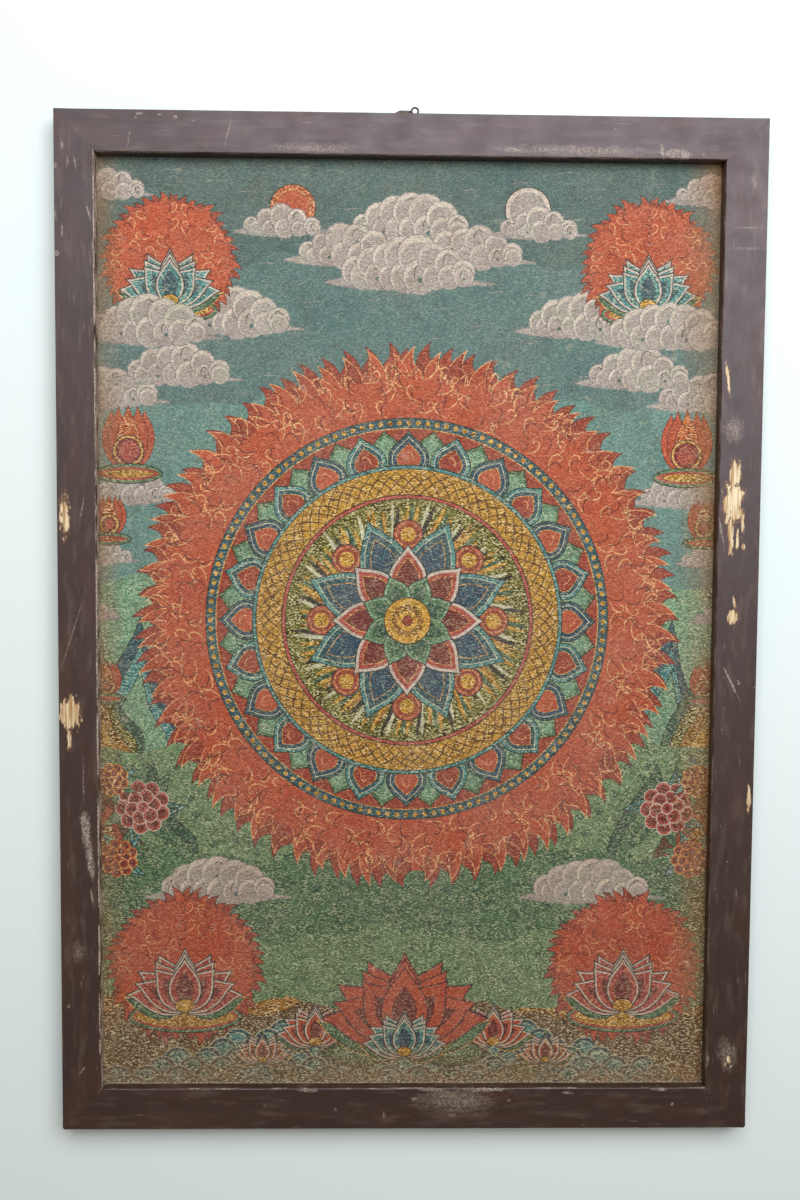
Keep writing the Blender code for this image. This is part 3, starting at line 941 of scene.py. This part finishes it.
def painted_wood(name, along, inner_edge, marks):
    paint, tree, shader = new_material(name)
    where = node(tree, "TexCoord", out="Object")
    side_place = node(tree, "SeparateXYZ", [where], 1 - along)
    height = side_place.node.outputs["Z"]
    in_front = node(tree, "MapRange", [height, 0.010, 0.024])
    inner, edge_wear_and_light, edge_wear_and_light_from, gaps, dust_and_light = inner_edge

    # Patterns drawn out along the length, and the size in mm and detail of each noise on them: brush
    # strokes are bristle lines 1.5 mm wide, with laps, smears and dry scratches
    stroked, drawn_out, torn_along = (
        node(tree, "Mapping", {0: where, "Scale": (short, 1, 1) if along == 0 else (1, short, 1)})
        for short in (0.06, 0.22, 0.34)
    )
    bristles, laps, smears, scratches, broken, crowding, flakes, grain, polish = (
        node(tree, "TexNoise", {"Vector": vector, "Scale": 1000 / size, "Detail": detail})
        for vector, size, detail in (
            (stroked, 1.5, 4.0),
            (drawn_out, 26, 5.0),
            (drawn_out, 9, 8.0),
            (stroked, 2.4, 1.0),
            (drawn_out, 7, 6.0),
            (where, 150, 2.0),
            (where, 2.2, 5.0),
            (stroked, 2.2, 6.0),
            (where, 35, 4.0),
        )
    )
    lap_tone = node(tree, "MapRange", [laps, 0.3, 0.7])
    colour = node(tree, "Mix", {0: lap_tone, 6: linear(PAINT_DARK), 7: linear(PAINT)}, **MIX)
    for strokes, start, full, most, tone in (
        (bristles, 0.35, 0.7, 0.35, "#29190f"),
        (laps, 0.56, 0.66, 0.30, "#4d2a20"),
        (smears, 0.52, 0.80, 0.15, "#a38f7c"),
    ):
        amount = node(tree, "MapRange", [strokes, start, full, 0.0, most])
        colour = node(tree, "Mix", {0: amount, 6: colour, 7: linear(tone)}, **MIX)
    scratched = node(tree, "MapRange", [scratches, 0.735, 0.77, 0.0, 0.30])

    # Each mark is an oval, turned to its lean, whose edge is torn along the grain
    tears = {"Vector": torn_along, "Scale": 1000 / 3.6, "Detail": 9.0, "Roughness": 0.62}
    ragged = node(tree, "TexNoise", tears)
    bare = 0.0
    pale = scratched
    for x, y, length, width, lean, depth in marks:
        oval = (width / 2 * MM, length / 2 * MM, 0.1)
        laid = [where, (x * MM, y * MM, 0.03), (0, 0, math.radians(lean)), oval]
        far = node(tree, "Mapping", laid, vector_type="TEXTURE")
        far = node(tree, "VectorMath", [far], "Value", operation="LENGTH")
        torn = node(tree, "Math", [ragged, 2.1, far], operation="MULTIPLY_ADD")
        outer, core = SHARP_EDGE if depth > SHARP_DEPTH else SOFT_EDGE
        mark = node(tree, "MapRange", [torn, outer, core, 0.0, depth])
        if depth > BARE_DEPTH:
            bare = node(tree, "Math", [bare, mark], operation="MAXIMUM")
        else:
            pale = node(tree, "Math", [pale, mark], operation="MAXIMUM")

    # Chips no bigger than a pinhead, and the pale line along the inner edge: rubbed paint and dust at
    # the arris and the foot, and painted light on the inner walls that face the window
    chip = node(tree, "TexVoronoi", {"Vector": where, "Scale": 1000 / 17}, "Distance")
    chip_size = node(tree, "MapRange", [crowding, 0.45, 0.75, 0.01, 0.085])
    chipped = node(tree, "Math", [chip, chip_size], operation="LESS_THAN")
    chipped = node(tree, "Math", [chipped, 0.45], operation="MULTIPLY")
    from_inner = node(tree, "Math", [side_place, inner], operation="SUBTRACT")
    from_inner = node(tree, "Math", [from_inner], operation="ABSOLUTE")
    broken = node(tree, "MapRange", [broken, gaps, gaps + 0.14, 0.0, edge_wear_and_light])
    worn_and_lit_arris = node(tree, "MapRange", [height, edge_wear_and_light_from, edge_wear_and_light_from + 0.002, 0.0, broken])
    low_down = (LIP_UNDERSIDE + 0.004, LIP_UNDERSIDE + 0.002)
    at_foot = node(tree, "MapRange", [height, *low_down, 0.0, dust_and_light])
    worn_and_lit_edge_line = node(tree, "Math", [worn_and_lit_arris, at_foot], operation="MAXIMUM")
    worn_and_lit_edge_line = node(tree, "MapRange", [from_inner, 0.0016, 0.0008, 0.0, worn_and_lit_edge_line])
    flaked = node(tree, "MapRange", [flakes, 0.42, 0.60, 0.25, 1.1])
    for other, way in (
        (in_front, "MULTIPLY"),
        (chipped, "MAXIMUM"),
        (worn_and_lit_edge_line, "MAXIMUM"),
        (flaked, "MULTIPLY"),
    ):
        pale = node(tree, "Math", [pale, other], operation=way)
    colour = node(tree, "Mix", {0: pale, 6: colour, 7: linear("#c2af9e")}, **MIX)

    # Round a bare place the paint thins to a warm stain; the wood in it shows its grain
    bare = node(tree, "Math", [bare, in_front], operation="MULTIPLY")
    thinned = node(tree, "MapRange", [bare, 0.02, 0.35, 0.0, 0.7])
    opened = node(tree, "MapRange", [bare, 0.30, 0.55])
    grain_tone = node(tree, "MapRange", [grain, 0.35, 0.62])
    grains = {0: grain_tone, 6: linear("#a87a48"), 7: linear("#ecd8b2")}
    wood = node(tree, "Mix", grains, **MIX)
    colour = node(tree, "Mix", {0: thinned, 6: colour, 7: linear("#7d5435")}, **MIX)
    colour = node(tree, "Mix", {0: opened, 6: colour, 7: wood}, **MIX)

    scuffed = node(tree, "Math", [pale, 0.5], operation="MULTIPLY")
    lost = node(tree, "Math", [opened, scuffed], operation="MAXIMUM")
    gloss = node(tree, "MapRange", [polish, 0.3, 0.7, 0.42, 0.54])
    matt = node(tree, "MapRange", [lost, 0.0, 1.0, gloss, 0.85])
    relief = node(tree, "Math", [bristles, 0.4], operation="MULTIPLY")
    relief = node(tree, "Math", [relief, lost], operation="SUBTRACT")
    bumps = node(tree, "Bump", {"Height": relief, "Strength": 0.5, "Distance": 0.0004})
    feed(shader, {"Base Color": colour, "Roughness": matt, "Normal": bumps})
    feed(shader, {"IOR": 1.6, "Specular Tint": linear("#fff3ff")})
    return paint


# Marks: x and y of the middle, length, width, lean from upright, and depth, which past BARE_DEPTH
# lays the wood open
MEMBERS = {
    "top_rail": (
        (-232, 622, 42, 2.0, -14, 0.55),
        (-356, 612, 26, 2.0, -9, 0.35),
        (-298, 639, 5, 7, 0, 0.6),
        (-275, 635, 3, 4, 0, 0.6),
        (-343, 643, 3, 11, 0, 0.55),
        (-347, 638, 3, 5, 0, 0.55),
        (-318, 642, 3, 7, 0, 0.5),
        (-122, 604, 11, 120, 0, 0.34),
        (127, 605, 7, 30, 0, 0.55),
        (205, 605, 13, 190, 0, 0.42),
        (314, 605, 18, 6, 12, 0.6),
        (330, 603, 12, 34, 0, 0.5),
        (341, 603, 13, 22, 0, 0.6),
        (366, 602, 6, 3, 0, 0.55),
    ),
    "bottom_rail": (
        (66, -624, 32, 96, 0, 0.33),
        (52, -616, 16, 56, 0, 0.36),
        (36, -609, 5, 40, 0, 0.5),
        (104, -609, 5, 76, 0, 0.6),
        (213, -613, 5, 16, 0, 0.6),
        (335, -609, 4, 20, 0, 0.6),
        (352, -629, 4, 4, 0, 0.6),
        (136, -624, 4, 4, 0, 0.5),
        (61, -643, 5, 11, 0, 0.4),
        (234, -657, 3, 6, 0, 0.4),
        (-186, -630, 4, 5, 0, 0.35),
        (-93, -635, 4, 4, 0, 0.35),
        (-29, -643, 10, 4, 0, 0.35),
        (10, -621, 5, 8, 0, 0.5),
        (-130, -609, 5, 34, 0, 0.55),
    ),
    "left_stile": (
        (-449, 578, 8, 6, 0, 0.6),
        (-447, 470, 9, 7, 0, 0.6),
        (-448, 518, 16, 4, 0, 0.45),
        (-439, 603, 10, 4, 0, 0.4),
        (-423, 581, 22, 3, 9, 0.5),
        (-432, 584, 14, 3, 8, 0.35),
        (-407, 522, 26, 3, 16, 0.5),
        (-440, 497, 18, 3, 0, 0.5),
        (-399, 490, 12, 3, 14, 0.5),
        (-401, 480, 20, 4, 0, 0.45),
        (-400, 330, 60, 4, 0, 0.35),
        (-440, 140, 60, 16, 0, 0.66),
        (-418, 150, 36, 2, -10, 0.45),
        (-432, -10, 80, 2.4, -18, 0.35),
        (-436, -112, 46, 30, 0, 1.0),
        (-437, -145, 34, 7, 0, 0.62),
        (-419, -200, 60, 2, 0, 0.4),
        (-417, -262, 60, 13, 4, 0.6),
        (-411, -300, 64, 11, 6, 0.6),
        (-409, -352, 26, 3, 8, 0.5),
        (-428, -424, 26, 18, 0, 0.25),
        (-423, -581, 16, 4, -35, 0.5),
        (-441, -496, 5, 4, 0, 0.5),
    ),
    "right_stile": (
        (432, 569, 30, 8, 0, 0.3),
        (425, 512, 3, 38, 0, 0.25),
        (423, 486, 3, 44, 0, 0.25),
        (404, 322, 52, 5, 8, 0.75),
        (412, 257, 30, 24, 0, 0.45),
        (414, 165, 62, 30, 0, 1.0),
        (416, 200, 46, 17, 0, 0.8),
        (412, 124, 56, 9, 2, 0.8),
        (427, 137, 40, 6, 3, 0.8),
        (421, 116, 36, 5, 0, 0.75),
        (429, 108, 8, 5, 0, 0.7),
        (400, 128, 40, 3, 12, 0.5),
        (416, 16, 20, 15, 0, 0.85),
        (419, 36, 18, 5, 8, 0.62),
        (417, -68, 50, 3, 27, 0.6),
        (427, -69, 6, 5, 0, 0.6),
        (444, -220, 40, 6, 0, 0.8),
        (423, -561, 46, 24, 15, 0.34),
        (426, -569, 13, 5, 12, 0.7),
        (421, -575, 7, 3, 0, 0.66),
        (429, -578, 5, 3, 0, 0.62),
        (420, -560, 6, 2, 0, 0.55),
        (397, -569, 20, 5, 0, 0.4),
    ),
}

# Each inner edge: its place, how pale its arris is drawn and from what height, how long the gaps in that
# are, and the pale at its foot along the cloth. The pale is rubbed paint and dust, and painted light as
# well: strong on the left and bottom walls, which face the window, and on the left from low on the wall
# up; little on the shaded top and right walls, and none at their foot.
INNER_EDGES = {
    "top_rail": (sight_top, 0.3, 0.030, 0.44, 0.0),
    "bottom_rail": (sight_bottom, 1.0, 0.0310, 0.53, 1.0),
    "left_stile": (sight_left, 1.6, 0.015, 0.42, 0.8),
    "right_stile": (sight_right, 0.35, 0.030, 0.44, 0.0),
}
for node_name, marks in MEMBERS.items():
    length = member(node_name.replace("_", "_worn_"), node_name)
    runs = 0 if node_name.endswith("rail") else 1
    length.data.materials.clear()
    finish = painted_wood(node_name + "_brown_oil_paint", runs, INNER_EDGES[node_name], marks)
    length.data.materials.append(finish)
    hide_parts(node_name)
    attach(length, "root")

# The screw eye: iron wire bent round to an open ring, with a thread cut on its shank, turned into
# the middle of the top rail's edge. It has gone brown and rough with rust.
EYE_RING_RADIUS = 0.00425
EYE_WIRE_RADIUS = 0.0012
EYE_GAP_DEG = (-78, -58)
THREADS = 12
SMOOTH_SHANK = 0.0030
eye_low, eye_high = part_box("hanger_eye")
ring_middle = [(low + high) / 2 for low, high in zip(eye_low, eye_high)]
ring_middle[1] = eye_high[1] - EYE_RING_RADIUS - EYE_WIRE_RADIUS
eye = primitive(
    bpy.ops.mesh.primitive_torus_add,
    "rusty_screw_eye",
    location=ring_middle,
    major_radius=EYE_RING_RADIUS,
    minor_radius=EYE_WIRE_RADIUS,
    major_segments=54,
    minor_segments=16,
)


def in_gap(face):
    turn = math.atan2(face.center.y - ring_middle[1], face.center.x - ring_middle[0])
    return EYE_GAP_DEG[0] < math.degrees(turn) < EYE_GAP_DEG[1]


choose(eye, "FACE", in_gap)
bpy.ops.mesh.delete(type="FACE")
bpy.ops.mesh.select_all(action="SELECT")
bpy.ops.mesh.fill_holes(sides=0)
bpy.ops.object.mode_set(mode="OBJECT")

shank_top = ring_middle[1] - EYE_RING_RADIUS
shank_length = shank_top - eye_low[1]
shank = primitive(
    bpy.ops.mesh.primitive_cylinder_add,
    "shank",
    vertices=16,
    radius=EYE_WIRE_RADIUS,
    depth=shank_length,
    location=(ring_middle[0], shank_top - shank_length / 2, ring_middle[2]),
    rotation=(math.radians(90), 0, 0),
)
choose(shank, "EDGE", lambda a, b: abs(a.y - b.y) > shank_length / 2)
bpy.ops.mesh.subdivide(number_cuts=THREADS * 2)
thread_pitch = shank_length / (THREADS * 2 + 1)
thread_end = shank_top - SMOOTH_SHANK


def in_groove(co):
    ring = round((co.y - eye_low[1]) / thread_pitch)
    return ring % 2 == 0 and co.y < thread_end


choose(shank, "VERT", in_groove)
bpy.ops.transform.resize(value=(0.78, 1, 0.78))
choose(shank, "VERT", lambda co: co.y < eye_low[1] + thread_pitch / 2)
bpy.ops.transform.resize(value=(0.35, 1, 0.35))
bpy.ops.object.mode_set(mode="OBJECT")
boolean(eye, shank, "UNION")
bpy.ops.object.shade_smooth_by_angle(angle=math.radians(40))


def rusted_metal(name, sound, rust, rust_share, pitch_mm):
    """Iron or steel whose bright or painted skin gives way to rough brown rust in blots."""
    metal, tree, shader = new_material(name)
    where = node(tree, "TexCoord", out="Object")
    blots = node(tree, "TexNoise", {"Vector": where, "Scale": 1000 / pitch_mm, "Detail": 5.0})
    grain = node(tree, "TexNoise", {"Vector": where, "Scale": 6000 / pitch_mm, "Detail": 3.0})
    start = 0.62 - rust_share * 0.3
    rusty = node(tree, "MapRange", [blots, start, start + 0.08])
    crust = node(tree, "Mix", {0: grain, 6: linear(rust), 7: linear("#2e1c14")}, **MIX)
    colour = node(tree, "Mix", {0: rusty, 6: linear(sound), 7: crust}, **MIX)
    shine = node(tree, "MapRange", [rusty, 0.0, 1.0, 0.75, 0.1])
    matt = node(tree, "MapRange", [rusty, 0.0, 1.0, 0.42, 0.85])
    bumps = node(tree, "Bump", {"Height": grain, "Strength": 0.5, "Distance": 0.0002})
    feed(shader, {"Base Color": colour, "Metallic": shine, "Roughness": matt, "Normal": bumps})
    return metal


eye.data.materials.clear()
eye.data.materials.append(rusted_metal("rusted_iron_wire", "#4a4540", "#6b4632", 0.7, 2.5))
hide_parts("hanger_eye")
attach(eye, "root")

# The hanging plate: a strip of sheet steel bent to an angle, its standing leaf cut off slantwise.
# Two slotted screws hold its foot to the rail's top edge, and it was painted along with the frame.
PLATE_THICKNESS = 0.0012
PLATE_SLANT = 0.010
PLATE_LOW_END = 0.0042
SCREW_HEAD_RADIUS = 0.0021
SCREW_HEAD_HEIGHT = 0.0009
plate_low, plate_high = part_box("hanger_plate")
leaf_back = plate_high[2] - PLATE_THICKNESS
foot_high = (plate_high[0], plate_low[1] + PLATE_THICKNESS, plate_high[2])
plate = cube("painted_hanging_plate", plate_low, foot_high)
bpy.ops.object.mode_set(mode="EDIT")
bpy.ops.mesh.bisect(plane_co=(0, 0, leaf_back), plane_no=(0, 0, 1))
choose(plate, "FACE", lambda face: face.normal.y > 0.9 and face.center.z > leaf_back)
leaf_height = plate_high[1] - plate_low[1] - PLATE_THICKNESS
bpy.ops.mesh.extrude_region_move(TRANSFORM_OT_translate={"value": (0, leaf_height, 0)})
bpy.ops.mesh.select_all(action="SELECT")
bpy.ops.mesh.bisect(plane_co=(plate_low[0] + PLATE_SLANT, 0, 0), plane_no=(1, 0, 0))
choose(plate, "VERT", lambda co: co.x < plate_low[0] + 0.001 and co.y > plate_high[1] - 0.001)
bpy.ops.transform.translate(value=(0, PLATE_LOW_END - leaf_height - PLATE_THICKNESS, 0))
bpy.ops.object.mode_set(mode="OBJECT")
modified(plate, "BEVEL", width=0.0003, segments=2)

foot_top = plate_low[1] + PLATE_THICKNESS
foot_middle = (plate_low[2] + leaf_back) / 2
for share in (0.24, 0.76):
    x = plate_low[0] + share * (plate_high[0] - plate_low[0])
    screw = primitive(
        bpy.ops.mesh.primitive_cylinder_add,
        "screw",
        vertices=24,
        radius=SCREW_HEAD_RADIUS,
        depth=SCREW_HEAD_HEIGHT,
        location=(x, foot_top + SCREW_HEAD_HEIGHT / 2 - 0.0001, foot_middle),
        rotation=(math.radians(-90), 0, 0),
    )
    choose(screw, "FACE", lambda face: face.normal.y > 0.9)
    bpy.ops.mesh.bevel(offset=0.0004, segments=3)
    bpy.ops.object.mode_set(mode="OBJECT")
    slot_low = (x - SCREW_HEAD_RADIUS * 1.2, foot_top + SCREW_HEAD_HEIGHT * 0.35, foot_middle - 0.0003)
    slot_high = (x + SCREW_HEAD_RADIUS * 1.2, foot_top + SCREW_HEAD_HEIGHT * 2, foot_middle + 0.0003)
    boolean(screw, cube("slot", slot_low, slot_high))
    plate.select_set(True)
    bpy.context.view_layer.objects.active = plate
    bpy.ops.object.join()
bpy.ops.object.shade_smooth_by_angle(angle=math.radians(35))
plate.data.materials.clear()
plate.data.materials.append(rusted_metal("painted_sheet_steel", "#4a3b34", "#7a5038", 0.35, 5.0))
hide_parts("hanger_plate")
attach(plate, "root")

# The tacks: blued steel upholstery tacks, driven from the back through the cloth's margin into
# the lip, about a hand's breadth apart all the way round.
TACK_HEAD_RADIUS = 0.0034
TACK_HEAD_HEIGHT = 0.0008
TACK_LENGTH = 0.0085
TACK_SPACING = 0.078
TACK_INSET = 0.0055
TACK_UNEVEN = 0.004
tacks = primitive(
    bpy.ops.mesh.primitive_cone_add,
    "rebate_tacks",
    vertices=14,
    radius1=TACK_HEAD_RADIUS * 0.62,
    radius2=TACK_HEAD_RADIUS,
    depth=TACK_HEAD_HEIGHT,
    location=(0, 0, cloth_low[2] - TACK_HEAD_HEIGHT / 2),
)
choose(tacks, "FACE", lambda face: face.normal.z > 0.9)
bpy.ops.mesh.inset(thickness=TACK_HEAD_RADIUS * 0.8)
bpy.ops.mesh.extrude_region_move(TRANSFORM_OT_translate={"value": (0, 0, TACK_LENGTH)})
bpy.ops.transform.resize(value=(0.15, 0.15, 1))
bpy.ops.object.mode_set(mode="OBJECT")
line_low = (cloth_low[0] + TACK_INSET, cloth_low[1] + TACK_INSET)
line_high = (cloth_high[0] - TACK_INSET, cloth_high[1] - TACK_INSET)
tack_places = []
for axis in (0, 1):
    count = round((line_high[axis] - line_low[axis]) / TACK_SPACING)
    for edge in (line_low[1 - axis], line_high[1 - axis]):
        stops = np.linspace(line_low[axis], line_high[axis], count + 1)
        for along in stops[axis : count + 1 - axis]:
            at = [along + hand.uniform(-TACK_UNEVEN, TACK_UNEVEN) * axis, edge]
            tack_places.append(at if axis == 0 else at[::-1])
first_place = tack_places.pop(0)
copies = [tacks]
for x, y in tack_places:
    copy = tacks.copy()
    copy.data = tacks.data.copy()
    copy.data.transform(Matrix.Translation((x, y, 0)))
    bpy.context.scene.collection.objects.link(copy)
    copies.append(copy)
tacks.data.transform(Matrix.Translation((*first_place, 0)))
bpy.ops.object.select_all(action="DESELECT")
for copy in copies:
    copy.select_set(True)
bpy.context.view_layer.objects.active = tacks
bpy.ops.object.join()
tacks.data.materials.clear()
tacks.data.materials.append(rusted_metal("blued_tack_steel", "#2c3038", "#6b4632", 0.3, 8.0))
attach(tacks, "root")
